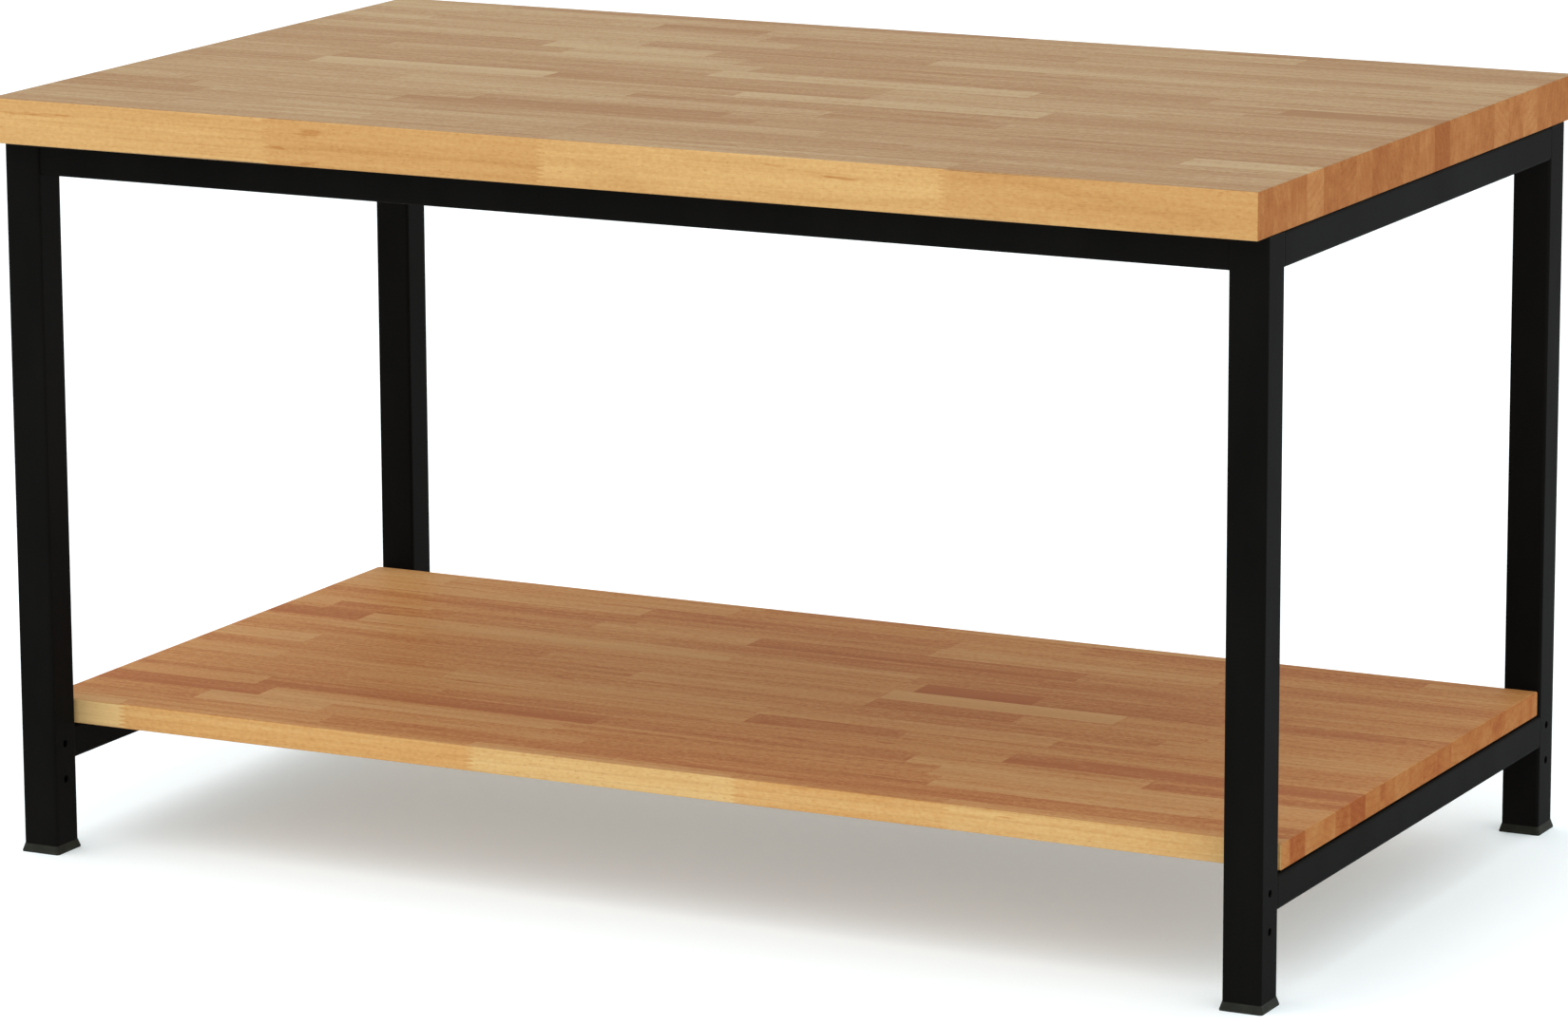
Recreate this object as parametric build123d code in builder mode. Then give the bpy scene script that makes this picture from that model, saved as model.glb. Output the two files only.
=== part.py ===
from build123d import *
import os

# Butcher block table: two boards of edge-glued beech strips on a welded frame of square steel tube.
# Millimetres, +Z up. X runs along the table, the front is towards -Y, and the origin is on the floor
# under the middle of the table.

# Overall size
TABLE_LENGTH = 1524.0
TABLE_DEPTH = 914.4
TABLE_HEIGHT = 870.0

# Worktop
WORKTOP_THICKNESS = 50.8
WORKTOP_STRIP_WIDTH = 44.6
WORKTOP_FRONT_STRIP = 39.5  # the outer strips are narrower, where the board was trimmed to its depth
WORKTOP_OVERHANG = 28.0  # beyond the legs, at the front and the back
BOARD_EDGE_RADIUS = 2.0

# Shelf
SHELF_THICKNESS = 28.6
SHELF_STRIP_WIDTH = 42.0
SHELF_FRONT_STRIP = 22.0
SHELF_LEG_GAP = 7.8

# Steel tube
LEG_WIDTH = 44.45
RAIL_WIDTH = 38.1
TUBE_WALL = 2.1
TUBE_CORNER_RADIUS = 3.6
LOWER_RAIL_BOTTOM = 102.0

# Spare holes near the foot of each leg, bored along X through both walls
LEG_HOLE_RADIUS = 4.35
LEG_HOLE_UPPER_Z = 125.4
LEG_HOLE_LOWER_Z = 84.1

# Feet
FOOT_HEIGHT = 9.5
FOOT_SOLE_WIDTH = 49.4
FOOT_RIM_WIDTH = 44.8
FOOT_LIP = 1.6
FOOT_CORNER_RADIUS = 3.4
PLUG_HEIGHT = 26.0
PLUG_FIN_CLEARANCE = 0.15
PLUG_FIN_DEPTH = 1.2
PLUG_FIN_HEIGHT = 2.0
PLUG_FIN_PITCH = 6.0
PLUG_FINS = 4
PLUG_WALL = 3.0

# Screws, driven upwards from inside the rails, and the washers under the shelf
SCREW_SHANK_RADIUS = 2.4
SCREW_HEAD_RADIUS = 5.2
SCREW_HEAD_HEIGHT = 3.4
SCREW_HEAD_FILLET = 1.6
SCREW_TIP_LENGTH = 5.0
SCREW_TIP_RADIUS = 0.4
RECESS_LENGTH = 5.0
RECESS_WIDTH = 1.1
RECESS_DEPTH = 1.8
PILOT_CLEARANCE = 0.1
CLEARANCE_HOLE_RADIUS = 2.9
ACCESS_HOLE_RADIUS = 6.4
WORKTOP_SCREW_BITE = 32.0
SHELF_SCREW_BITE = 19.0
WASHER_THICKNESS = 2.4
WASHER_RADIUS = 9.0

# Worked out from the sizes above
FRAME_HALF_LENGTH = TABLE_LENGTH / 2
FRAME_HALF_DEPTH = TABLE_DEPTH / 2 - WORKTOP_OVERHANG
WORKTOP_UNDERSIDE = TABLE_HEIGHT - WORKTOP_THICKNESS
APRON_BOTTOM = WORKTOP_UNDERSIDE - RAIL_WIDTH
LEG_INNER_X = FRAME_HALF_LENGTH - LEG_WIDTH
LEG_INNER_Y = FRAME_HALF_DEPTH - LEG_WIDTH
LEG_CENTRE_X = FRAME_HALF_LENGTH - LEG_WIDTH / 2
LEG_CENTRE_Y = FRAME_HALF_DEPTH - LEG_WIDTH / 2
END_RAIL_CENTRE_X = FRAME_HALF_LENGTH - RAIL_WIDTH / 2
LOWER_RAIL_TOP = LOWER_RAIL_BOTTOM + RAIL_WIDTH
SHELF_UNDERSIDE = LOWER_RAIL_TOP + WASHER_THICKNESS
SHELF_DEPTH = 2 * (LEG_INNER_Y - SHELF_LEG_GAP)

# Where the screws stand along their rails. Each is clear of the glue lines between the strips.
LONG_APRON_SCREW_X = (-600.0, -200.0, 200.0, 600.0)
END_APRON_SCREW_Y = (-222.0, 222.0)
SHELF_SCREW_Y = (-300.0, -115.0, 115.0, 300.0)

ABOVE = (Align.CENTER, Align.CENTER, Align.MIN)
BELOW = (Align.CENTER, Align.CENTER, Align.MAX)
FROM_NEAR = (Align.CENTER, Align.MIN, Align.CENTER)


def finish(piece, name):
    """Label a finished piece and write it as one STEP file."""
    piece.part.label = name
    export_step(piece.part, f"parts/{name}.step")


def tube_section(width):
    """Draw the hollow square section of a tube in the sketch that is open."""
    bore = width - 2 * TUBE_WALL
    RectangleRounded(width, width, TUBE_CORNER_RADIUS)
    RectangleRounded(bore, bore, TUBE_CORNER_RADIUS - TUBE_WALL, mode=Mode.SUBTRACT)


def make_leg(name, side_x, side_y):
    """Upright tube with two spare bolt holes through both of its X walls."""
    centre_x = side_x * LEG_CENTRE_X
    centre_y = side_y * LEG_CENTRE_Y
    with BuildPart() as leg:
        with BuildSketch(Plane(origin=(centre_x, centre_y, FOOT_HEIGHT))):
            tube_section(LEG_WIDTH)
        extrude(amount=WORKTOP_UNDERSIDE - FOOT_HEIGHT)
        with BuildSketch(Plane(origin=(centre_x, centre_y, 0), x_dir=(0, 1, 0), z_dir=(1, 0, 0))):
            with Locations((0, LEG_HOLE_UPPER_Z), (0, LEG_HOLE_LOWER_Z)):
                Circle(LEG_HOLE_RADIUS)
        extrude(amount=LEG_WIDTH, both=True, mode=Mode.SUBTRACT)
    finish(leg, name)


def make_rail(name, plane, length, bottom, screw_places):
    """Level tube, with a wide access hole under each screw and a clearance hole above it."""
    with BuildPart() as rail:
        with BuildSketch(plane):
            tube_section(RAIL_WIDTH)
        extrude(amount=length / 2, both=True)
        with Locations(*[(x, y, bottom) for x, y in screw_places]):
            Cylinder(CLEARANCE_HOLE_RADIUS, RAIL_WIDTH, align=ABOVE, mode=Mode.SUBTRACT)
            Cylinder(ACCESS_HOLE_RADIUS, RAIL_WIDTH / 2, align=ABOVE, mode=Mode.SUBTRACT)
    finish(rail, name)


def make_foot(name, side_x, side_y):
    """Moulded foot: a flared sole under the leg, and a hollow finned plug inside it."""
    centre = (side_x * LEG_CENTRE_X, side_y * LEG_CENTRE_Y)
    bore = LEG_WIDTH - 2 * TUBE_WALL
    fin_width = bore - 2 * PLUG_FIN_CLEARANCE
    core_width = fin_width - 2 * PLUG_FIN_DEPTH
    core_hollow = core_width - 2 * PLUG_WALL
    with BuildPart() as foot:
        with BuildSketch(Plane(origin=(*centre, 0))):
            RectangleRounded(FOOT_SOLE_WIDTH, FOOT_SOLE_WIDTH, FOOT_CORNER_RADIUS)
        extrude(amount=FOOT_LIP)
        with BuildSketch(Plane(origin=(*centre, FOOT_LIP))):
            RectangleRounded(FOOT_SOLE_WIDTH, FOOT_SOLE_WIDTH, FOOT_CORNER_RADIUS)
        with BuildSketch(Plane(origin=(*centre, FOOT_HEIGHT))):
            RectangleRounded(FOOT_RIM_WIDTH, FOOT_RIM_WIDTH, FOOT_CORNER_RADIUS)
        loft(ruled=True)
        with BuildSketch(Plane(origin=(*centre, FOOT_HEIGHT))):
            RectangleRounded(core_width, core_width, TUBE_CORNER_RADIUS - TUBE_WALL)
            RectangleRounded(core_hollow, core_hollow, TUBE_CORNER_RADIUS - TUBE_WALL, mode=Mode.SUBTRACT)
        extrude(amount=PLUG_HEIGHT)
        for fin in range(PLUG_FINS):
            with BuildSketch(Plane(origin=(*centre, FOOT_HEIGHT + (fin + 0.5) * PLUG_FIN_PITCH))):
                RectangleRounded(fin_width, fin_width, TUBE_CORNER_RADIUS - TUBE_WALL)
                RectangleRounded(core_hollow, core_hollow, TUBE_CORNER_RADIUS - TUBE_WALL, mode=Mode.SUBTRACT)
            extrude(amount=PLUG_FIN_HEIGHT)
    finish(foot, name)


def make_board(length, depth, thickness, underside, screw_places, bite):
    """Whole glued board with eased edges and a blind pilot hole for each screw, before it is cut up."""
    with BuildPart() as board:
        with Locations((0, 0, underside)):
            Box(length, depth, thickness, align=ABOVE)
        fillet(board.edges(), BOARD_EDGE_RADIUS)
        with Locations(*[(x, y, underside) for x, y in screw_places]):
            Cylinder(SCREW_SHANK_RADIUS + PILOT_CLEARANCE, bite, align=ABOVE, mode=Mode.SUBTRACT)
    return board.part


def make_strips(kind, board, front_width, width):
    """Cut a board along its glue lines, one strip to a node, numbered from the front."""
    box = board.bounding_box()
    glue_lines = [box.min.Y]
    next_line = box.min.Y + front_width
    while next_line < box.max.Y:
        glue_lines.append(next_line)
        next_line += width
    glue_lines.append(box.max.Y)
    for number, (near_y, far_y) in enumerate(zip(glue_lines, glue_lines[1:]), start=1):
        with BuildPart() as strip:
            add(board)
            with Locations((0, near_y, box.center().Z)):
                Box(box.size.X, far_y - near_y, box.size.Z, align=FROM_NEAR, mode=Mode.INTERSECT)
        finish(strip, f"{kind}_strip_{number:02d}")


def make_screws(name, places, seat, grip, bite):
    """Pan-head screws standing under a rail's top wall, each with a cross recess in its head."""
    stem = TUBE_WALL + grip + bite - PILOT_CLEARANCE
    with BuildPart() as screws:
        with Locations(*[(x, y, seat) for x, y in places]):
            Cylinder(SCREW_HEAD_RADIUS, SCREW_HEAD_HEIGHT, align=BELOW)
        fillet(screws.edges().group_by(Axis.Z)[0], SCREW_HEAD_FILLET)
        with Locations(*[(x, y, seat - SCREW_HEAD_HEIGHT) for x, y in places]):
            Box(RECESS_LENGTH, RECESS_WIDTH, RECESS_DEPTH, align=ABOVE, mode=Mode.SUBTRACT)
            Box(RECESS_WIDTH, RECESS_LENGTH, RECESS_DEPTH, align=ABOVE, mode=Mode.SUBTRACT)
        with Locations(*[(x, y, seat) for x, y in places]):
            Cylinder(SCREW_SHANK_RADIUS, stem - SCREW_TIP_LENGTH, align=ABOVE)
        with Locations(*[(x, y, seat + stem - SCREW_TIP_LENGTH) for x, y in places]):
            Cone(SCREW_SHANK_RADIUS, SCREW_TIP_RADIUS, SCREW_TIP_LENGTH, align=ABOVE)
    finish(screws, name)


os.makedirs("parts", exist_ok=True)

# Legs and feet, one at each corner
CORNERS = {
    "front_left": (-1, -1),
    "front_right": (1, -1),
    "back_left": (-1, 1),
    "back_right": (1, 1),
}
for corner, (side_x, side_y) in CORNERS.items():
    make_leg(f"leg_{corner}", side_x, side_y)
    make_foot(f"foot_{corner}", side_x, side_y)

# Long aprons, each centred on its two legs and butted between them
worktop_screws = []
for side, side_y in (("front", -1), ("back", 1)):
    places = [(x, side_y * LEG_CENTRE_Y) for x in LONG_APRON_SCREW_X]
    centre = (0, side_y * LEG_CENTRE_Y, APRON_BOTTOM + RAIL_WIDTH / 2)
    plane = Plane(origin=centre, x_dir=(0, 1, 0), z_dir=(1, 0, 0))
    make_rail(f"apron_{side}", plane, 2 * LEG_INNER_X, APRON_BOTTOM, places)
    worktop_screws += places

# End aprons and lower end rails, flush with the outer faces of the legs
shelf_screws = []
for side, side_x in (("left", -1), ("right", 1)):
    centre_x = side_x * END_RAIL_CENTRE_X
    places = [(centre_x, y) for y in END_APRON_SCREW_Y]
    plane = Plane(origin=(centre_x, 0, APRON_BOTTOM + RAIL_WIDTH / 2), x_dir=(1, 0, 0), z_dir=(0, 1, 0))
    make_rail(f"apron_{side}", plane, 2 * LEG_INNER_Y, APRON_BOTTOM, places)
    worktop_screws += places

    places = [(centre_x, y) for y in SHELF_SCREW_Y]
    plane = Plane(origin=(centre_x, 0, LOWER_RAIL_BOTTOM + RAIL_WIDTH / 2), x_dir=(1, 0, 0), z_dir=(0, 1, 0))
    make_rail(f"lower_rail_{side}", plane, 2 * LEG_INNER_Y, LOWER_RAIL_BOTTOM, places)
    shelf_screws += places

# Boards, cut into the strips that they are glued up from
worktop = make_board(
    TABLE_LENGTH, TABLE_DEPTH, WORKTOP_THICKNESS, WORKTOP_UNDERSIDE, worktop_screws, WORKTOP_SCREW_BITE
)
make_strips("worktop", worktop, WORKTOP_FRONT_STRIP, WORKTOP_STRIP_WIDTH)

shelf = make_board(
    TABLE_LENGTH, SHELF_DEPTH, SHELF_THICKNESS, SHELF_UNDERSIDE, shelf_screws, SHELF_SCREW_BITE
)
make_strips("shelf", shelf, SHELF_FRONT_STRIP, SHELF_STRIP_WIDTH)

# Fasteners
make_screws("worktop_screws", worktop_screws, WORKTOP_UNDERSIDE - TUBE_WALL, 0, WORKTOP_SCREW_BITE)
make_screws("shelf_screws", shelf_screws, LOWER_RAIL_TOP - TUBE_WALL, WASHER_THICKNESS, SHELF_SCREW_BITE)

with BuildPart() as washers:
    with Locations(*[(x, y, LOWER_RAIL_TOP) for x, y in shelf_screws]):
        Cylinder(WASHER_RADIUS, WASHER_THICKNESS, align=ABOVE)
        Cylinder(CLEARANCE_HOLE_RADIUS, WASHER_THICKNESS, align=ABOVE, mode=Mode.SUBTRACT)
finish(washers, "shelf_washers")
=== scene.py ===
import math
import random

import bmesh
import bpy
from mathutils import Euler, Matrix, Vector


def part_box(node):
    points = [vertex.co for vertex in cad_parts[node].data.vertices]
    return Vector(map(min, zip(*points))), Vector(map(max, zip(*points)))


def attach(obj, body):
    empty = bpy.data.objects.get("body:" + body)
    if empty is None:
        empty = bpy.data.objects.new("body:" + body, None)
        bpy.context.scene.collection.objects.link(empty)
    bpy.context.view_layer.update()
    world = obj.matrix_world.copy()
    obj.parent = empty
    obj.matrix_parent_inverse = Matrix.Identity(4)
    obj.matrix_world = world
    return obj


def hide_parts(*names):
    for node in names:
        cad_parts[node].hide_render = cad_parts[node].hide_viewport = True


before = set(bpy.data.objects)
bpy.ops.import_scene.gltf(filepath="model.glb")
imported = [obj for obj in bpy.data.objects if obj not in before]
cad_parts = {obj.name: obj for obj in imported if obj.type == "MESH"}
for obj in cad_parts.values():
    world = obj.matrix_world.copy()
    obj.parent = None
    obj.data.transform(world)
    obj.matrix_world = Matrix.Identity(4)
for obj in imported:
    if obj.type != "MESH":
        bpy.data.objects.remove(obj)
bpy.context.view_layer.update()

# All lengths are in metres. The frame is the CAD model's: +Z up, the front is towards -Y.
# All colours are linear.

# Camera
CAMERA_PLACE = Vector((3.3594, -6.6437, 1.9672))
CAMERA_YAW = 0.4691
CAMERA_PITCH = 0.2099
CAMERA_ROLL = -0.0046
CAMERA_LENS_MM = 154.25
SENSOR_WIDTH_MM = 36.0

# Studio
SURROUNDINGS_STRENGTH = 1.17
OVERHEAD_PLACE = Vector((-1.5, -1.5, 5.0))
OVERHEAD_SIZE = 6.0
OVERHEAD_POWER = 91.0
FLOOR_REACH = 30.0
FLOOR_CLOUD_SCALE = (0.8, 0.8, 0.8)
FLOOR_DARK = (0.86, 0.86, 0.86)
FLOOR_PALE = (0.88, 0.88, 0.88)
FLOOR_GLOW_COLOUR = (0.67, 0.93, 1.0, 1.0)
FLOOR_GLOW = 0.275
FLOOR_ROUGHNESS = 0.9
FLOOR_SPECULAR = 0.1
WHITE = (1.0, 1.0, 1.0, 1.0)

# Finger joints between the staves of a strip
FINGER_PITCH = 0.0048
FINGER_LENGTH = 0.009
FINGER_TIP = 0.0007  # width of a finger's blunt end
CUTTER_MARGIN = 0.01  # how far a stave's cutter reaches past the strip

# Meshes
MERGE_DISTANCE = 1e-6  # corners nearer than this become one
FLAT_ANGLE = math.radians(0.5)  # faces that meet at less than this become one
SHARP_ANGLE = math.radians(35)  # edges that turn by more than this are shaded crisp

# Welds, ground back to a slight hollow, in the rounded corners of the legs where the end rails meet them
TUBE_CORNER_RADIUS = 0.0036
WELD_HOLLOW = 0.00022  # depth of the hollow, a parabola, at its middle
WELD_BITE = 0.0002  # how far a weld reaches into the rail
WELD_END_ANGLE = math.radians(84.0)  # that the rail's rounded edge has turned away by, at a weld's ends
WELD_STEPS = 6

# Staves that are drawn at random
SHORTEST_STAVE = 0.20
LONGEST_STAVE = 0.50
MIDDLE_TONE = 0.5
TONE_SPREAD = 0.16

# Staves that are given one by one: strip number: (right-hand end, tone) of each stave but the last one,
# from left to right. Tone 0 is a pale stave and 1 a dark one. The other strips' staves are drawn at random.
WORKTOP_STAVES = {
    1: ((-0.406, 0.42), (-0.065, 0.58), (0.408, 0.36)),
    3: ((-0.47, 0.40), (-0.072, 0.40), (0.31, 0.80)),
    8: ((-0.43, 0.45), (-0.131, 0.32), (0.31, 0.85)),
    9: ((-0.50, 0.52), (-0.025, 0.50), (0.35, 0.10)),
    14: ((-0.60, 0.66), (-0.36, 0.58), (-0.134, 0.18), (0.30, 0.62)),
    15: ((-0.409, 0.58), (-0.194, 0.0), (0.22, 0.58)),
    19: ((-0.36, 0.48), (-0.217, 0.90), (0.20, 0.45)),
}
SHELF_STAVES = {
    1: ((-0.66, -0.10), (-0.207, 0.54), (0.12, 0.18), (0.375, 0.42)),
    2: ((-0.41, 0.52), (0.05, 0.66), (0.44, 0.74)),
    3: ((-0.60, 0.62), (-0.44, 0.12), (-0.10, 0.55), (0.325, 0.72), (0.64, 0.30)),
    4: ((-0.54, 0.86), (-0.16, 0.28), (0.305, 0.62)),
    5: ((-0.571, 0.52), (-0.13, 0.82), (0.26, 0.66), (0.54, 0.40)),
    6: ((-0.36, 0.50), (-0.02, 0.58), (0.356, 0.46), (0.440, 0.92), (0.520, 1.05)),
    7: ((-0.50, 0.60), (0.017, 0.42), (0.205, 0.82), (0.62, 0.48)),
    9: ((-0.45, 0.58), (0.06, 0.55), (0.48, 0.58)),
    10: ((-0.629, 0.12), (-0.20, 0.52), (0.105, 0.36), (0.29, 0.90), (0.52, 0.70)),
    11: ((-0.34, 0.60), (0.105, 0.40), (0.395, -0.05)),
    12: ((-0.52, 0.46), (0.127, 0.44), (0.275, 1.15), (0.50, 0.70)),
    14: ((-0.70, 0.20), (-0.634, 0.90), (-0.25, 0.45), (0.24, 0.70)),
}

# Tone of each strip's last stave, whose end grain shows on the board's right-hand end
WORKTOP_END_TONES = (
    0.60, 0.48, 0.50, 0.10, 0.68, 0.62, 0.50, 0.76, 0.66, 0.50, 0.48,
    1.10, 0.46, 0.44, 0.58, 0.28, 0.47, 0.22, 0.53, 0.62, 0.70,
)
SHELF_END_TONES = (
    0.24, 0.90, 0.25, 0.30, 0.72, 1.0, 0.50, 0.60, 0.45, 0.55,
    0.50, 0.62, 0.40, 0.55, 0.48, 0.60, 0.45, 0.55, 0.50,
)
WORKTOP_SEED = 11
SHELF_SEED = 23

# Beech colours: a face's, by tone from a pale stave to a dark one, and the tints of the long edges and the
# ends.
# The edge tints are mostly painted light, as if a front light fell on the edges. The end tints are darker
# end grain deepened with painted shade.
WORKTOP_FACE = (
    (0.0, (0.385, 0.285, 0.159)),
    (0.5, (0.319, 0.206, 0.105)),
    (1.0, (0.263, 0.145, 0.065)),
)
# Painted light: the worktop's long edges are made lighter than their cut gives, as if a front light fell on
# them
WORKTOP_EDGE_CUT_AND_PAINTED_LIGHT = (1.676, 1.493, 1.112)
# Darker end grain, deepened with painted shade on the worktop's ends
WORKTOP_END_GRAIN_AND_PAINTED_SHADE = (1.146, 0.715, 0.451)
SHELF_FACE = (
    (0.0, (0.534, 0.305, 0.123)),
    (0.5, (0.476, 0.223, 0.074)),
    (1.0, (0.376, 0.131, 0.042)),
)
# Painted light: the shelf's long edges are made lighter and paler than their cut gives, as if a front light
# fell on them
SHELF_EDGE_CUT_AND_PAINTED_LIGHT = (1.190, 1.404, 1.516)
# Darker end grain, deepened with painted shade on the shelf's ends
SHELF_END_GRAIN_AND_PAINTED_SHADE = (0.798, 0.657, 0.560)
RING_SHADE = (0.74, 0.62, 0.52, 1.0)
FIBRE_SHADE = (0.80, 0.72, 0.64, 1.0)
FLECK_SHADE = (0.64, 0.48, 0.37, 1.0)
END_RING_SHADE = (0.76, 0.64, 0.54, 1.0)
END_PORE_SHADE = (0.70, 0.57, 0.46, 1.0)

# Beech figure. A scale is in noise cells per metre along X, Y and Z, and the grain runs along X.
# A share is how far a part of the figure moves the tone. Limits are the levels of the noise between which
# a part comes up, and a depth is how strong its shade gets.
GRAIN_SHIFT = (41.0, 17.0, 29.0)  # the most that a stave's grain is moved, so that no two look alike
BAND_SCALE = (0.9, 19.0, 19.0)
BAND_SHARE = 0.85
STREAK_SCALE = (2.2, 60.0, 60.0)
STREAK_SHARE = 1.08
THREAD_SCALE = (7.0, 170.0, 170.0)
THREAD_SHARE = 0.78
PORE_SCALE = (170.0, 260.0, 260.0)
PORE_SHARE = 1.25
MINERAL_SCALE = (13.0, 95.0, 95.0)
MINERAL_SHARE = 0.9
MINERAL_LIMITS = (0.68, 0.82)
FLECK_SCALE = (150.0, 1200.0, 1200.0)
FLECK_LIMITS = (0.63, 0.74)
FLECK_DEPTH = 0.55
FIBRE_SCALE = (9.0, 640.0, 640.0)
FIBRE_LIMITS = (0.35, 0.75)
FIBRE_DEPTH = 0.35
RING_DEPTH = 0.20
EDGE_CONTRAST = 0.48  # of the figure on the boards' long edges, beside 1 on their faces
END_BLOTCH_SCALE = (20.0, 42.0, 42.0)
END_BLOTCH_SHARE = 1.6
END_BLOTCH_MIDDLE = 0.77  # taken off again, so that the tone stays about the same on the whole
END_TONE_SHARE = 0.95
END_PORE_SCALE = (200.0, 900.0, 900.0)
END_PORE_LIMITS = (0.46, 0.72)
END_PORE_DEPTH = 0.85
END_RING_DEPTH = 0.30

# Growth rings: arcs round a heart line along X, which is in another place for each stave
RINGS_PER_METRE = 105.0
LATE_WOOD_START = 0.55  # of the way from the palest line of a ring to its darkest
HEART_SPREAD_Y = 0.9  # centred on the middle of the table
HEART_HEIGHT = 0.78  # of the lowest one, above the floor
HEART_SPREAD_Z = 0.30
WANDER_SCALE = (1.3, 9.0, 9.0)
WANDER = 0.05  # how far a ring wanders along Y

# The X or Y part of a surface's normal over which a face's colour changes to an end's or an edge's, with
# their cut, the painted light of the edges and the painted shade of the ends
CUT_LIMITS = (0.45, 0.80)

# Beech's sheen
BEECH_SPECULAR = 0.03
BEECH_ROUGHNESS = 0.48
FIBRE_ROUGHNESS = 0.16  # added at the most where the fibres stand up
END_ROUGHNESS = 0.10  # added on the ends

# Other materials. Nearly all of a noise lies between the low level and the high one. A roughness is a pair:
# where the noise is low and where it is high.
NOISE_LOW = 0.3
NOISE_HIGH = 0.7
COAT_CLOUD_SCALE = (7.0, 7.0, 3.0)
COAT_SPECK_SCALE = (2600.0, 2600.0, 2600.0)
COAT_SPECK_LIMITS = (0.66, 0.80)
COAT_PEEL_SCALE = (620.0, 620.0, 620.0)
COAT_PALE_LEVEL = 0.72
COAT_DARK = (0.0034, 0.0032, 0.0029)
COAT_PALE = (0.0061, 0.0058, 0.0053)
COAT_DUST = (0.012, 0.012, 0.0115, 1.0)
COAT_DUST_DEPTH = 0.5
COAT_ROUGHNESS = (0.44, 0.54)
COAT_SPECK_ROUGHNESS = 0.06
COAT_SPECULAR = 0.015
RUBBER_CLOUD_SCALE = (60.0, 60.0, 90.0)
RUBBER_GRAIN_SCALE = (1800.0, 1800.0, 1800.0)
RUBBER_DARK = (0.013, 0.014, 0.010)
RUBBER_PALE = (0.020, 0.021, 0.015)
RUBBER_SCUFF = (0.045, 0.046, 0.040, 1.0)
SCUFF_LIMITS = (0.45, 0.7)
SCUFF_HEIGHT = 0.004
SCUFF_DEPTH = 0.55
RUBBER_ROUGHNESS = (0.55, 0.72)
RUBBER_SPECULAR = 0.12
ZINC_CLOUD_SCALE = (420.0, 420.0, 420.0)
ZINC_DARK = (0.50, 0.50, 0.49)
ZINC_PALE = (0.66, 0.65, 0.60)
ZINC_ROUGHNESS = (0.24, 0.42)
WASHER_GRAIN_SCALE = (1500.0, 1500.0, 1500.0)
WASHER_DARK = (0.010, 0.010, 0.010)
WASHER_PALE = (0.018, 0.018, 0.018)
WASHER_ROUGHNESS = (0.48, 0.62)


def linked(name, data):
    """New object in the scene."""
    made = bpy.data.objects.new(name, data)
    bpy.context.scene.collection.objects.link(made)
    return made


def mesh_data(name, form):
    """Mesh made from a bmesh, which is used up."""
    data = bpy.data.meshes.new(name)
    form.to_mesh(data)
    form.free()
    return data


def smooth(data):
    """Smooth shading, with the edges that turn sharply kept crisp."""
    data.shade_smooth()
    data.set_sharp_from_angle(angle=SHARP_ANGLE)


def add_camera():
    """Camera with a long lens, out to the front right and above the worktop."""
    data = bpy.data.cameras.new("camera")
    data.lens = CAMERA_LENS_MM
    data.sensor_width = SENSOR_WIDTH_MM
    camera = linked("camera", data)
    camera.location = CAMERA_PLACE
    turn = Euler((math.pi / 2 - CAMERA_PITCH, 0, CAMERA_YAW), "XYZ").to_matrix()
    camera.rotation_euler = (turn @ Matrix.Rotation(CAMERA_ROLL, 3, "Z")).to_euler()
    bpy.context.scene.camera = camera


def add_surroundings():
    """Even white light from all round."""
    world = bpy.data.worlds.new("studio")
    world.use_nodes = True
    background = world.node_tree.nodes["Background"]
    background.inputs["Color"].default_value = WHITE
    background.inputs["Strength"].default_value = SURROUNDINGS_STRENGTH
    bpy.context.scene.world = world
    bpy.context.scene.view_settings.view_transform = "Standard"


def add_overhead_light():
    """Large soft light, high up and turned towards the floor under the middle of the table."""
    data = bpy.data.lights.new("overhead", "AREA")
    data.size = OVERHEAD_SIZE
    data.energy = OVERHEAD_POWER
    light = linked("overhead", data)
    light.location = OVERHEAD_PLACE
    light.rotation_euler = (-OVERHEAD_PLACE).to_track_quat("-Z", "Y").to_euler()


# Sockets of a Mix node that mixes colours
MIX_FACTOR = 0
MIX_FIRST = 6
MIX_SECOND = 7
MIX_RESULT = 2


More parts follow.
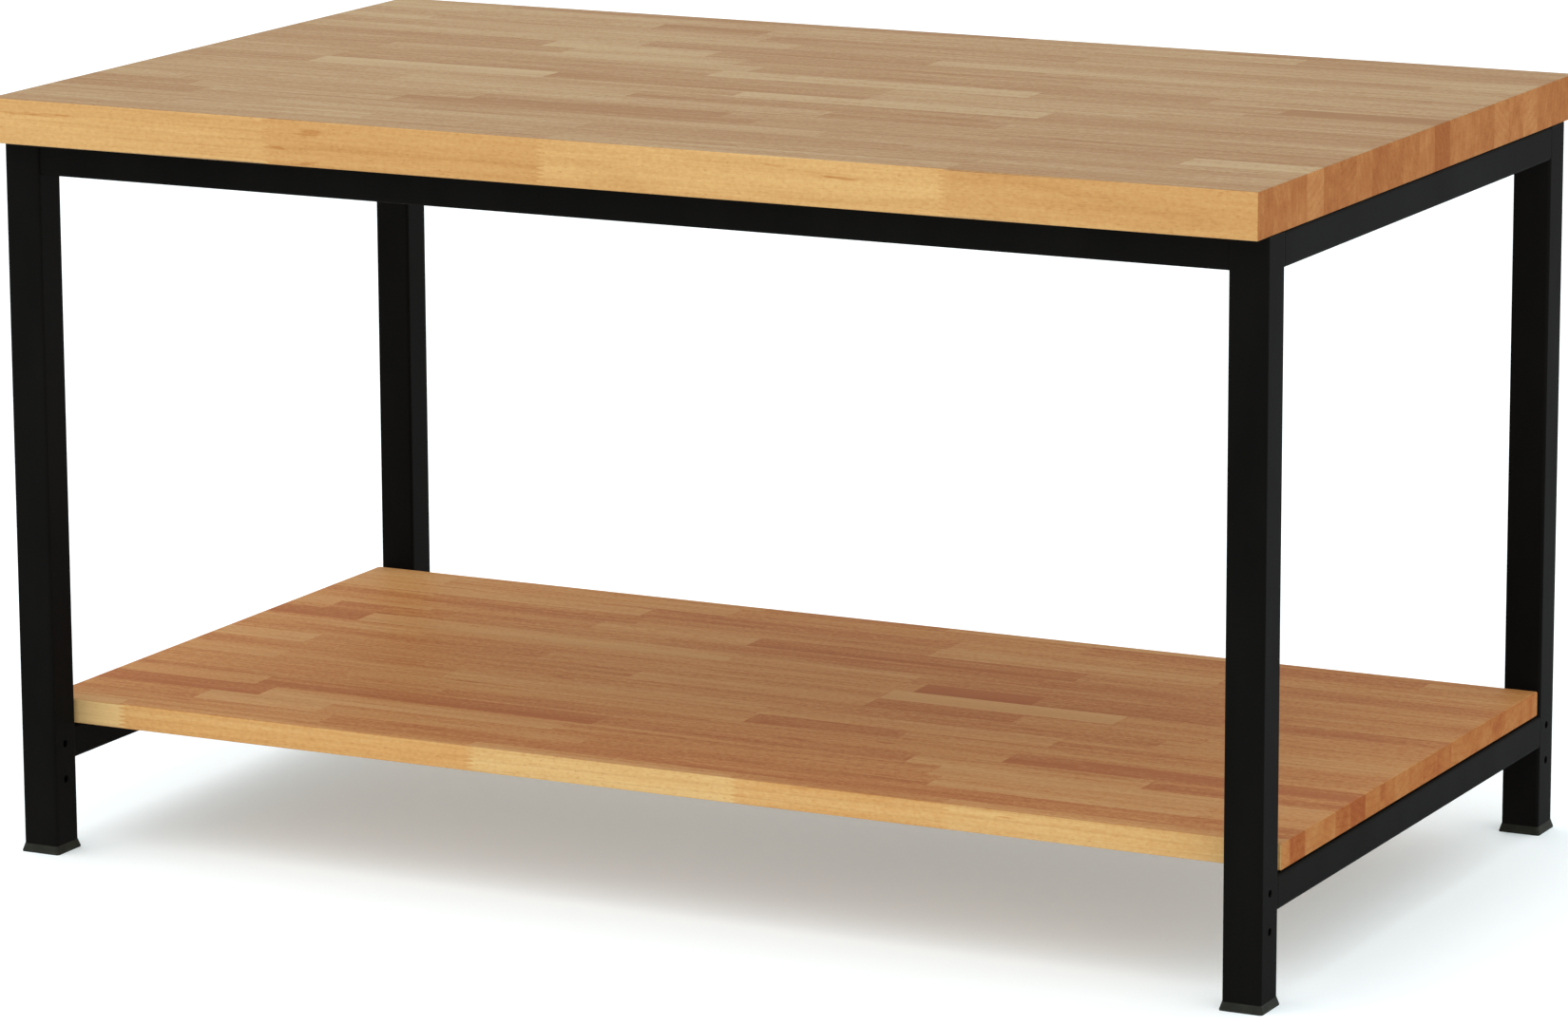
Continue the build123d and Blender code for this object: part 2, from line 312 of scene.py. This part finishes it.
class Nodes:
    """Adds the nodes of one material and joins them up."""

    def __init__(self, name):
        self.material = bpy.data.materials.new(name)
        self.material.use_nodes = True
        self.tree = self.material.node_tree
        self.tree.nodes.clear()
        self.shader = self.add("ShaderNodeBsdfPrincipled")
        output = self.add("ShaderNodeOutputMaterial")
        self.link(self.shader.outputs["BSDF"], output.inputs["Surface"])
        self.place = self.add("ShaderNodeTexCoord").outputs["Object"]

    def add(self, kind, **settings):
        """Add a node with its properties set."""
        made = self.tree.nodes.new(kind)
        for setting, value in settings.items():
            setattr(made, setting, value)
        return made

    def link(self, source, target):
        """Join two sockets, or set the target when the source is a plain value."""
        if isinstance(source, bpy.types.NodeSocket):
            self.tree.links.new(source, target)
        else:
            target.default_value = source

    def maths(self, operation, *values):
        """Number worked out from up to three numbers or sockets."""
        made = self.add("ShaderNodeMath", operation=operation)
        for socket, value in zip(made.inputs, values):
            self.link(value, socket)
        return made.outputs[0]

    def vector(self, operation, *values):
        """Vector worked out from two vectors or sockets."""
        made = self.add("ShaderNodeVectorMath", operation=operation)
        for socket, value in zip(made.inputs, values):
            self.link(value, socket)
        return made.outputs[0]

    def mix(self, blend, factor, first, second):
        """Colour mixed from two colours or sockets."""
        made = self.add("ShaderNodeMix", data_type="RGBA", blend_type=blend)
        self.link(factor, made.inputs[MIX_FACTOR])
        self.link(first, made.inputs[MIX_FIRST])
        self.link(second, made.inputs[MIX_SECOND])
        return made.outputs[MIX_RESULT]

    def stretched(self, scales, source=None):
        """Object coordinates, or others, scaled along each axis."""
        return self.vector("MULTIPLY", source or self.place, scales)

    def noise(self, source, detail=2.0, roughness=0.5):
        """Noise from 0 to 1 in the coordinates that it is given."""
        made = self.add("ShaderNodeTexNoise")
        self.link(source, made.inputs["Vector"])
        self.link(1.0, made.inputs["Scale"])
        self.link(detail, made.inputs["Detail"])
        self.link(roughness, made.inputs["Roughness"])
        return made.outputs["Fac"]

    def ease(self, value, low, high, low_to=0.0, high_to=1.0):
        """Smooth step of a number between two limits, onto two others."""
        made = self.add("ShaderNodeMapRange", interpolation_type="SMOOTHSTEP")
        self.link(value, made.inputs["Value"])
        self.link(low, made.inputs["From Min"])
        self.link(high, made.inputs["From Max"])
        self.link(low_to, made.inputs["To Min"])
        self.link(high_to, made.inputs["To Max"])
        return made.outputs["Result"]

    def ramp(self, value, *stops):
        """Colour along a ramp of (place, colour) stops."""
        made = self.add("ShaderNodeValToRGB")
        elements = made.color_ramp.elements
        while len(elements) < len(stops):
            elements.new(0.5)
        for element, (place, colour) in zip(elements, stops):
            element.position = place
            element.color = (*colour, 1.0)
        self.link(value, made.inputs["Fac"])
        return made.outputs["Color"]

    def bump(self, height, distance, strength):
        """Small relief on the shader's normal."""
        made = self.add("ShaderNodeBump")
        self.link(height, made.inputs["Height"])
        self.link(distance, made.inputs["Distance"])
        self.link(strength, made.inputs["Strength"])
        self.link(made.outputs["Normal"], self.shader.inputs["Normal"])


def stave_grain(n):
    """Tone of the stave that a point is in, and grain coordinates that are different for each stave."""
    stave = n.add("ShaderNodeSeparateColor")
    n.link(n.add("ShaderNodeVertexColor", layer_name="stave").outputs["Color"], stave.inputs["Color"])
    tone, tree, log = stave.outputs
    shift = n.add("ShaderNodeCombineXYZ")
    for socket, number, reach in zip(shift.inputs, (log, tree, log), GRAIN_SHIFT):
        n.link(n.maths("MULTIPLY", number, reach), socket)
    return tone, tree, log, n.vector("ADD", n.place, shift.outputs[0])


def late_wood(n, tree, log, grain):
    """Dark part of each growth ring, round a heart line that is different for each stave."""
    point = n.add("ShaderNodeSeparateXYZ")
    n.link(n.place, point.inputs[0])
    wander = n.noise(n.stretched(WANDER_SCALE, grain))
    wavy_y = n.maths("MULTIPLY_ADD", wander, WANDER, point.outputs[1])
    heart_y = n.maths("MULTIPLY_ADD", log, HEART_SPREAD_Y, -HEART_SPREAD_Y / 2)
    heart_z = n.maths("MULTIPLY_ADD", tree, HEART_SPREAD_Z, HEART_HEIGHT)
    from_y = n.maths("SUBTRACT", wavy_y, heart_y)
    from_z = n.maths("SUBTRACT", point.outputs[2], heart_z)
    squares = n.maths("ADD", n.maths("MULTIPLY", from_y, from_y), n.maths("MULTIPLY", from_z, from_z))
    half_rings = n.maths("MULTIPLY", n.maths("SQRT", squares), 2 * RINGS_PER_METRE)
    ring = n.maths("PINGPONG", half_rings, 1.0)
    return n.ease(ring, LATE_WOOD_START, 1.0)


def long_grain(n, tone, grain, rings, fibre, stops, contrast):
    """Colour of a face cut along the grain: bands, streaks, mineral marks, fibres, pores and flecks."""
    band = n.noise(n.stretched(BAND_SCALE, grain))
    streak = n.noise(n.stretched(STREAK_SCALE, grain), detail=3.0, roughness=0.6)
    thread = n.noise(n.stretched(THREAD_SCALE, grain))
    pores = n.noise(n.stretched(PORE_SCALE, grain), roughness=0.6)
    fleck = n.ease(n.noise(n.stretched(FLECK_SCALE, grain), detail=1.0), *FLECK_LIMITS)
    mineral = n.noise(n.stretched(MINERAL_SCALE, grain))
    tone = n.maths("ADD", tone, n.ease(mineral, *MINERAL_LIMITS, high_to=MINERAL_SHARE))
    parts = ((band, BAND_SHARE), (streak, STREAK_SHARE), (thread, THREAD_SHARE), (pores, PORE_SHARE))
    for part, full_share in parts:
        share = full_share * contrast
        tone = n.maths("ADD", tone, n.maths("MULTIPLY_ADD", part, share, -share / 2))
    wood = n.ramp(tone, *stops)
    wood = n.mix("MULTIPLY", n.maths("MULTIPLY", rings, RING_DEPTH), wood, RING_SHADE)
    wood = n.mix("MULTIPLY", n.ease(fibre, *FIBRE_LIMITS, high_to=FIBRE_DEPTH), wood, FIBRE_SHADE)
    return n.mix("MULTIPLY", n.maths("MULTIPLY", fleck, FLECK_DEPTH), wood, FLECK_SHADE)


def end_grain(n, tone, grain, rings, stops, grain_and_painted_shade):
    """Colour of a face cut across the grain: ring arcs, open pores, a blotchy soak of oil and a tint that
    is darker end grain deepened with painted shade.
    """
    blotch = n.noise(n.stretched(END_BLOTCH_SCALE, grain), detail=4.0, roughness=0.62)
    pores = n.noise(n.stretched(END_PORE_SCALE, grain))
    soak = n.maths("MULTIPLY_ADD", blotch, END_BLOTCH_SHARE, -END_BLOTCH_MIDDLE)
    tone = n.maths("MULTIPLY_ADD", tone, END_TONE_SHARE, soak)
    # The tint is darker end grain, deepened with painted shade
    wood = n.mix("MULTIPLY", 1.0, n.ramp(tone, *stops), (*grain_and_painted_shade, 1.0))
    wood = n.mix("MULTIPLY", n.maths("MULTIPLY", rings, END_RING_DEPTH), wood, END_RING_SHADE)
    return n.mix("MULTIPLY", n.ease(pores, *END_PORE_LIMITS, high_to=END_PORE_DEPTH), wood, END_PORE_SHADE)


def beech(name, stops, edge_cut_and_painted_light, end_grain_and_painted_shade):
    """Oiled beech with its grain along X. The faces, the long edges and the ends show different cuts; the
    long edges' colour also carries painted light and the ends' colour painted shade.
    """
    n = Nodes(name)
    tone, tree, log, grain = stave_grain(n)
    rings = late_wood(n, tree, log, grain)
    fibre = n.noise(n.stretched(FIBRE_SCALE, grain), detail=3.0, roughness=0.65)
    face = long_grain(n, tone, grain, rings, fibre, stops, contrast=1.0)
    edge = long_grain(n, tone, grain, rings, fibre, stops, contrast=EDGE_CONTRAST)
    # Painted light: the tint lightens the long edges' colour
    edge = n.mix("MULTIPLY", 1.0, edge, (*edge_cut_and_painted_light, 1.0))
    end = end_grain(n, tone, grain, rings, stops, end_grain_and_painted_shade)

    normal = n.add("ShaderNodeSeparateXYZ")
    n.link(n.add("ShaderNodeNewGeometry").outputs["Normal"], normal.inputs[0])
    on_end = n.ease(n.maths("ABSOLUTE", normal.outputs[0]), *CUT_LIMITS)
    on_edge = n.ease(n.maths("ABSOLUTE", normal.outputs[1]), *CUT_LIMITS)
    colour = n.mix("MIX", on_end, n.mix("MIX", on_edge, face, edge), end)
    n.link(colour, n.shader.inputs["Base Color"])

    n.shader.inputs["Specular IOR Level"].default_value = BEECH_SPECULAR
    rough = n.maths("MULTIPLY_ADD", fibre, FIBRE_ROUGHNESS, BEECH_ROUGHNESS)
    n.link(n.maths("MULTIPLY_ADD", on_end, END_ROUGHNESS, rough), n.shader.inputs["Roughness"])
    n.bump(fibre, distance=0.0002, strength=0.25)
    return n.material


def powder_coat(name):
    """Satin black powder coat: fine orange peel, a little dust and uneven gloss."""
    n = Nodes(name)
    cloud = n.noise(n.stretched(COAT_CLOUD_SCALE), detail=4.0, roughness=0.6)
    speck = n.noise(n.stretched(COAT_SPECK_SCALE), detail=1.0)
    peel = n.noise(n.stretched(COAT_PEEL_SCALE))
    colour = n.ramp(cloud, (NOISE_LOW, COAT_DARK), (COAT_PALE_LEVEL, COAT_PALE))
    colour = n.mix("MIX", n.ease(speck, *COAT_SPECK_LIMITS, high_to=COAT_DUST_DEPTH), colour, COAT_DUST)
    n.link(colour, n.shader.inputs["Base Color"])
    rough = n.ease(cloud, NOISE_LOW, NOISE_HIGH, *COAT_ROUGHNESS)
    rough = n.maths("ADD", rough, n.maths("MULTIPLY", speck, COAT_SPECK_ROUGHNESS))
    n.link(rough, n.shader.inputs["Roughness"])
    n.shader.inputs["Specular IOR Level"].default_value = COAT_SPECULAR
    n.bump(peel, distance=0.00012, strength=0.30)
    return n.material


def moulded_rubber(name):
    """Dark olive moulded rubber, dull, with a fine grain and pale scuffs near the floor."""
    n = Nodes(name)
    cloud = n.noise(n.stretched(RUBBER_CLOUD_SCALE), detail=3.0)
    grain = n.noise(n.stretched(RUBBER_GRAIN_SCALE))
    point = n.add("ShaderNodeSeparateXYZ")
    n.link(n.place, point.inputs[0])
    near_floor = n.ease(point.outputs[2], 0.0, SCUFF_HEIGHT, low_to=SCUFF_DEPTH, high_to=0.0)
    scuff = n.maths("MULTIPLY", near_floor, n.ease(cloud, *SCUFF_LIMITS))
    colour = n.ramp(cloud, (NOISE_LOW, RUBBER_DARK), (NOISE_HIGH, RUBBER_PALE))
    n.link(n.mix("MIX", scuff, colour, RUBBER_SCUFF), n.shader.inputs["Base Color"])
    n.shader.inputs["Specular IOR Level"].default_value = RUBBER_SPECULAR
    rough = n.ease(grain, NOISE_LOW, NOISE_HIGH, *RUBBER_ROUGHNESS)
    n.link(rough, n.shader.inputs["Roughness"])
    n.bump(grain, distance=0.0002, strength=0.35)
    return n.material


def zinc_plate(name):
    """Bright zinc plating with faint clouding and a fine unevenness."""
    n = Nodes(name)
    cloud = n.noise(n.stretched(ZINC_CLOUD_SCALE), detail=3.0)
    colour = n.ramp(cloud, (NOISE_LOW, ZINC_DARK), (NOISE_HIGH, ZINC_PALE))
    n.link(colour, n.shader.inputs["Base Color"])
    n.shader.inputs["Metallic"].default_value = 1.0
    rough = n.ease(cloud, NOISE_LOW, NOISE_HIGH, *ZINC_ROUGHNESS)
    n.link(rough, n.shader.inputs["Roughness"])
    n.bump(cloud, distance=0.0001, strength=0.2)
    return n.material


def matt_plastic(name):
    """Black moulded washer plastic with a spark-eroded grain."""
    n = Nodes(name)
    grain = n.noise(n.stretched(WASHER_GRAIN_SCALE))
    colour = n.ramp(grain, (NOISE_LOW, WASHER_DARK), (NOISE_HIGH, WASHER_PALE))
    n.link(colour, n.shader.inputs["Base Color"])
    rough = n.ease(grain, NOISE_LOW, NOISE_HIGH, *WASHER_ROUGHNESS)
    n.link(rough, n.shader.inputs["Roughness"])
    n.bump(grain, distance=0.00015, strength=0.3)
    return n.material


def studio_floor(name):
    """Pale seamless paper that gives off a little light of its own, which softens the shadow."""
    n = Nodes(name)
    cloud = n.noise(n.stretched(FLOOR_CLOUD_SCALE))
    colour = n.ramp(cloud, (NOISE_LOW, FLOOR_DARK), (NOISE_HIGH, FLOOR_PALE))
    n.link(colour, n.shader.inputs["Base Color"])
    n.shader.inputs["Roughness"].default_value = FLOOR_ROUGHNESS
    n.shader.inputs["Specular IOR Level"].default_value = FLOOR_SPECULAR
    n.shader.inputs["Emission Color"].default_value = FLOOR_GLOW_COLOUR
    n.shader.inputs["Emission Strength"].default_value = FLOOR_GLOW
    return n.material


def add_floor():
    """Large flat floor."""
    form = bmesh.new()
    bmesh.ops.create_grid(form, x_segments=1, y_segments=1, size=FLOOR_REACH)
    floor = linked("floor", mesh_data("floor", form))
    floor.data.materials.append(studio_floor("floor"))


def finger_line(x, low, high):
    """Outline of one finger joint in the XZ plane, from low to high: blunt fingers that point both ways."""
    turns = (
        (-1, 0.0),
        (-1, FINGER_TIP),
        (1, FINGER_PITCH / 2),
        (1, FINGER_PITCH / 2 + FINGER_TIP),
    )
    points = []
    z = low
    while z < high:
        for side, rise in turns:
            points.append((x + side * FINGER_LENGTH / 2, z + rise))
        z += FINGER_PITCH
    return points


def stave_side(joint_x, past_end_x, low, high):
    """Outline of one side of a stave's prism: a finger joint, or a straight line past the board's end."""
    if joint_x is None:
        return [(past_end_x, low), (past_end_x, high)]
    return finger_line(joint_x, low, high)


def stave_cutter(left, right, low, high):
    """Closed prism round one stave, from the joint on its left to the one on its right, if it has them."""
    bottom = low[2] - CUTTER_MARGIN
    top = high[2] + CUTTER_MARGIN
    start = stave_side(left, low[0] - CUTTER_MARGIN, bottom, top)
    end = stave_side(right, high[0] + CUTTER_MARGIN, bottom, top)
    depth = high[1] - low[1] + 2 * CUTTER_MARGIN
    form = bmesh.new()
    near = [form.verts.new((x, low[1] - CUTTER_MARGIN, z)) for x, z in start + end[::-1]]
    moved = bmesh.ops.extrude_face_region(form, geom=[form.faces.new(near)])["geom"]
    far = [element for element in moved if isinstance(element, bmesh.types.BMVert)]
    bmesh.ops.translate(form, verts=far, vec=(0, depth, 0))
    bmesh.ops.recalc_face_normals(form, faces=form.faces)
    return mesh_data("cutter", form)


def closed_copy(name):
    """Copy of a CAD node's mesh with its split corners joined, so that it is one closed surface."""
    form = bmesh.new()
    form.from_mesh(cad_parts[name].data)
    bmesh.ops.remove_doubles(form, verts=form.verts, dist=MERGE_DISTANCE)
    bmesh.ops.dissolve_limit(form, angle_limit=FLAT_ANGLE, verts=form.verts, edges=form.edges)
    return mesh_data(name, form)


def cut_stave(solid, cutter):
    """Part of a closed mesh that lies inside another, which is used up."""
    whole = linked("whole", solid)
    tool = linked("tool", cutter)
    step = whole.modifiers.new("cut", "BOOLEAN")
    step.operation = "INTERSECT"
    step.solver = "EXACT"
    step.object = tool
    bpy.context.view_layer.update()
    made = bpy.data.meshes.new_from_object(whole.evaluated_get(bpy.context.evaluated_depsgraph_get()))
    bpy.data.objects.remove(whole)
    bpy.data.objects.remove(tool)
    bpy.data.meshes.remove(cutter)
    return made


def random_staves(draw, end):
    """Staves of random length and tone, all but a strip's last one, as (right-hand end, tone) pairs."""
    staves = []
    right = -end + draw.uniform(0.5, 1.0) * SHORTEST_STAVE
    while right < end - SHORTEST_STAVE / 2:
        staves.append((right, draw.gauss(MIDDLE_TONE, TONE_SPREAD)))
        right += draw.uniform(SHORTEST_STAVE, LONGEST_STAVE)
    return staves


def join_staves(node, staves, draw):
    """Mesh of a strip cut into staves, each with its tone and two random numbers in a colour attribute."""
    low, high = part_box(node)
    solid = closed_copy(node)
    joined = bmesh.new()
    tags = joined.loops.layers.float_color.new("stave")
    left = None
    for right, tone in staves:
        piece = cut_stave(solid, stave_cutter(left, right, low, high))
        first = len(joined.faces)
        joined.from_mesh(piece)
        bpy.data.meshes.remove(piece)
        joined.faces.ensure_lookup_table()
        tag = (tone, draw.random(), draw.random(), 1.0)
        for face in joined.faces[first:]:
            for loop in face.loops:
                loop[tags] = tag
        left = right
    return mesh_data(node + "_staves", joined)


def add_strip(board, number, staves, draw, material):
    """One strip of a board, made of staves with finger joints between them, in place of its CAD node."""
    node = f"{board}_strip_{number:02d}"
    data = join_staves(node, staves, draw)
    smooth(data)
    data.materials.append(material)
    strip = linked(node + "_staves", data)
    shading = strip.modifiers.new("even_shading", "WEIGHTED_NORMAL")
    shading.keep_sharp = True
    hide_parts(node)
    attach(strip, "root")


def add_board(board, known, end_tones, material, seed):
    """All the strips of the worktop or the shelf."""
    draw = random.Random(seed)
    for number, end_tone in enumerate(end_tones, 1):
        drawn = random_staves(draw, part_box(f"{board}_strip_{number:02d}")[1][0])
        staves = [*known.get(number, drawn), (None, end_tone)]
        add_strip(board, number, staves, draw, material)


def weld_outline(lift):
    """Cross-section of a weld where the rail's rounded edge has turned away by the angle lift.

    Each point is (out from the root of the leg's corner, across from the rail to the leg).
    """
    reach = TUBE_CORNER_RADIUS * math.cos(lift)
    depth = TUBE_CORNER_RADIUS * (1.0 - math.sin(lift))
    points = [(0.0, -WELD_BITE), (reach, -WELD_BITE)]
    for step in range(WELD_STEPS + 1):
        share = step / WELD_STEPS
        hollow = WELD_HOLLOW * 4.0 * share * (1.0 - share)
        points.append((reach - hollow, depth * share))
    for step in range(WELD_STEPS - 1, 0, -1):
        out = reach * step / WELD_STEPS
        points.append((out, TUBE_CORNER_RADIUS - math.sqrt(TUBE_CORNER_RADIUS ** 2 - out ** 2)))
    return points


def weld_rings(rail, side, way_y):
    """Outlines of a weld in place, from the rail's bottom edge to its top edge."""
    low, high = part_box(rail)
    root_x = max(abs(low[0]), abs(high[0])) - TUBE_CORNER_RADIUS
    end_y = high[1] if way_y > 0 else low[1]
    lifts = [WELD_END_ANGLE * (1.0 - step / WELD_STEPS) for step in range(WELD_STEPS + 1)]
    rises = [(lift, TUBE_CORNER_RADIUS * (1.0 - math.sin(lift))) for lift in lifts]
    levels = [(lift, low[2] + rise) for lift, rise in rises]
    levels += [(lift, high[2] - rise) for lift, rise in reversed(rises)]
    rings = []
    for lift, z in levels:
        outline = weld_outline(lift)
        rings.append([(side * (root_x + out), end_y + way_y * across, z) for out, across in outline])
    return rings


def add_weld(rail, side, end_name, way_y, material):
    """One weld: a closed skin over its outlines."""
    form = bmesh.new()
    rings = [[form.verts.new(point) for point in ring] for ring in weld_rings(rail, side, way_y)]
    for below, above in zip(rings, rings[1:]):
        for start in range(len(below)):
            following = (start + 1) % len(below)
            form.faces.new((below[start], below[following], above[following], above[start]))
    form.faces.new(rings[0])
    form.faces.new(rings[-1])
    bmesh.ops.recalc_face_normals(form, faces=form.faces)
    name = f"weld_{rail}_{end_name}"
    data = mesh_data(name, form)
    smooth(data)
    data.materials.append(material)
    weld = linked(name, data)
    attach(weld, "root")


def add_welds(material):
    """Welds at both ends of the four end rails."""
    for kind in ("apron", "lower_rail"):
        for side_name, side in (("left", -1), ("right", 1)):
            for end_name, way_y in (("front", -1), ("back", 1)):
                add_weld(f"{kind}_{side_name}", side, end_name, way_y, material)


def paint(prefixes, material):
    """Give a material to every CAD node whose name starts with one of the prefixes."""
    for name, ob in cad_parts.items():
        if name.startswith(prefixes):
            for holder in ob.material_slots:
                holder.material = material


add_camera()
add_floor()
add_surroundings()
add_overhead_light()

worktop_beech = beech("worktop_beech", WORKTOP_FACE, WORKTOP_EDGE_CUT_AND_PAINTED_LIGHT, WORKTOP_END_GRAIN_AND_PAINTED_SHADE)
shelf_beech = beech("shelf_beech", SHELF_FACE, SHELF_EDGE_CUT_AND_PAINTED_LIGHT, SHELF_END_GRAIN_AND_PAINTED_SHADE)
add_board("worktop", WORKTOP_STAVES, WORKTOP_END_TONES, worktop_beech, WORKTOP_SEED)
add_board("shelf", SHELF_STAVES, SHELF_END_TONES, shelf_beech, SHELF_SEED)

black_coat = powder_coat("powder_coat")
paint(("leg", "apron", "lower_rail"), black_coat)
add_welds(black_coat)
paint(("foot",), moulded_rubber("moulded_rubber"))
paint(("worktop_screws", "shelf_screws"), zinc_plate("zinc_plate"))
paint(("shelf_washers",), matt_plastic("washer_plastic"))
